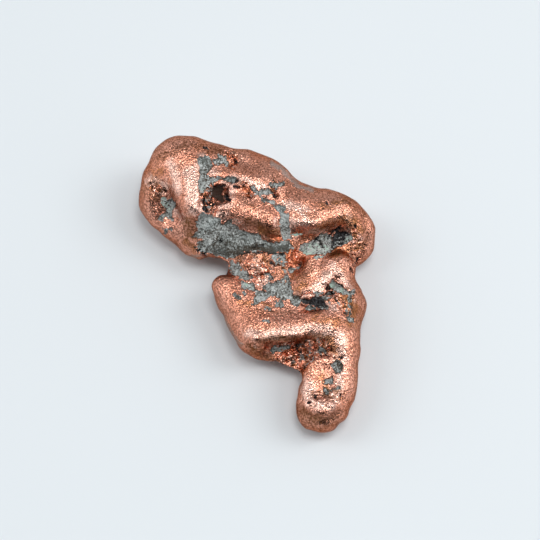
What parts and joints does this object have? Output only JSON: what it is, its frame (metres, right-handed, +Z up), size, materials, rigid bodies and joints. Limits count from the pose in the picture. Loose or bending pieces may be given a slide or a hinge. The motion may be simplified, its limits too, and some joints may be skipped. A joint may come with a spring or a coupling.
{
  "type": "native copper nugget",
  "caption": "Water-worn nugget of native copper with rounded lobes, pits, rough crystal patches and grey-green matrix.",
  "frame": {"origin": "on the resting plane, under the middle of the nugget's bounding box", "axes": "+Y from the fingertip to the head, along the nugget's length; +X from the head's side to the right lobe; +Z up from the worn flats it rests on"},
  "size_m": [0.0432, 0.0554, 0.0156],
  "materials": {
    "native_copper": null
  },
  "bodies": {
    "root": {"copper_nugget": "native_copper"}
  },
  "joints": []
}
